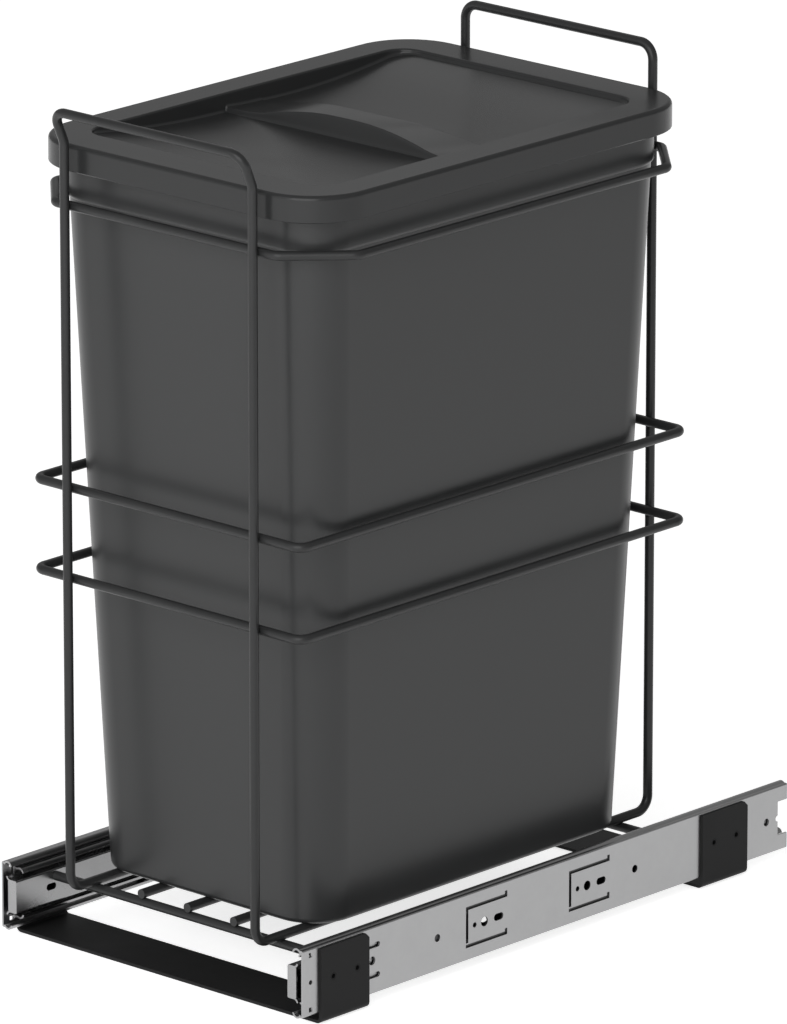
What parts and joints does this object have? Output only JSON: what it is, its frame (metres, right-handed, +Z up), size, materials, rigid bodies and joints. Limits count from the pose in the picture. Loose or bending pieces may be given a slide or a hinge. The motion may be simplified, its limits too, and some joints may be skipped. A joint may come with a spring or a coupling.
{
  "type": "pull out bin frame",
  "caption": "Lidded tapered bin standing in a welded wire cage with bent handles, which pulls out of a base cabinet on full-extension ball slides tied together by folded steel straps.",
  "frame": {"origin": "Middle of the footprint, on the plane of the straps' undersides, which is the cabinet floor.", "axes": "+Z up; -Y is the front, the way the unit is pulled out; X runs across, from slide to slide."},
  "size_m": [0.2608, 0.4514, 0.5428],
  "materials": {
    "strap_paint": "satin black paint",
    "rivet_steel": "blackened",
    "rail_zinc": "bright zinc plate",
    "cage_steel": "blackened steel",
    "ball_steel": "polished",
    "wire_coat": "smooth grey powder coat",
    "bin_plastic": "fine satin moulding",
    "lid_plastic": "fine satin moulding"
  },
  "bodies": {
    "base": {"front_strap": "strap_paint", "rear_strap": "strap_paint", "left_outer_rail": "rail_zinc", "right_outer_rail": "rail_zinc", "strap_rivets": "rivet_steel"},
    "left_outer_bearing": {"left_outer_cage": "cage_steel", "left_outer_balls": "ball_steel"},
    "left_middle": {"left_middle_rail": "rail_zinc"},
    "left_inner_bearing": {"left_inner_cage": "cage_steel", "left_inner_balls": "ball_steel"},
    "right_outer_bearing": {"right_outer_cage": "cage_steel", "right_outer_balls": "ball_steel"},
    "right_middle": {"right_middle_rail": "rail_zinc"},
    "right_inner_bearing": {"right_inner_cage": "cage_steel", "right_inner_balls": "ball_steel"},
    "carriage": {"left_inner_rail": "rail_zinc", "right_inner_rail": "rail_zinc", "main_loop": "wire_coat", "top_ring": "wire_coat", "upper_ring": "wire_coat", "lower_ring": "wire_coat", "front_cross_wire": "wire_coat", "rear_cross_wire": "wire_coat", "base_wires": "wire_coat"},
    "bin": {"bin": "bin_plastic"},
    "lid": {"lid": "lid_plastic"}
  },
  "joints": [
    {"name": "carriage_slide", "type": "slide", "parent": "base", "child": "carriage", "axis": [0, -1, 0], "range_m": [0, 0.45]},
    {"name": "left_outer_bearing_slide", "type": "slide", "parent": "base", "child": "left_outer_bearing", "axis": [0, -1, 0], "range_m": [0, 0.1125]},
    {"name": "left_middle_slide", "type": "slide", "parent": "base", "child": "left_middle", "axis": [0, -1, 0], "range_m": [0, 0.225]},
    {"name": "left_inner_bearing_slide", "type": "slide", "parent": "base", "child": "left_inner_bearing", "axis": [0, -1, 0], "range_m": [0, 0.3375]},
    {"name": "right_outer_bearing_slide", "type": "slide", "parent": "base", "child": "right_outer_bearing", "axis": [0, -1, 0], "range_m": [0, 0.1125]},
    {"name": "right_middle_slide", "type": "slide", "parent": "base", "child": "right_middle", "axis": [0, -1, 0], "range_m": [0, 0.225]},
    {"name": "right_inner_bearing_slide", "type": "slide", "parent": "base", "child": "right_inner_bearing", "axis": [0, -1, 0], "range_m": [0, 0.3375]},
    {"name": "bin_lift", "type": "slide", "parent": "carriage", "child": "bin", "axis": [0, 0, 1], "range_m": [0, 0.46]},
    {"name": "lid_lift", "type": "slide", "parent": "bin", "child": "lid", "axis": [0, 0, 1], "range_m": [0, 0.15]}
  ],
  "couplings": [
    {"joint": "left_outer_bearing_slide", "follows": "carriage_slide", "ratio": 0.25},
    {"joint": "left_middle_slide", "follows": "carriage_slide", "ratio": 0.5},
    {"joint": "left_inner_bearing_slide", "follows": "carriage_slide", "ratio": 0.75},
    {"joint": "right_outer_bearing_slide", "follows": "carriage_slide", "ratio": 0.25},
    {"joint": "right_middle_slide", "follows": "carriage_slide", "ratio": 0.5},
    {"joint": "right_inner_bearing_slide", "follows": "carriage_slide", "ratio": 0.75}
  ]
}
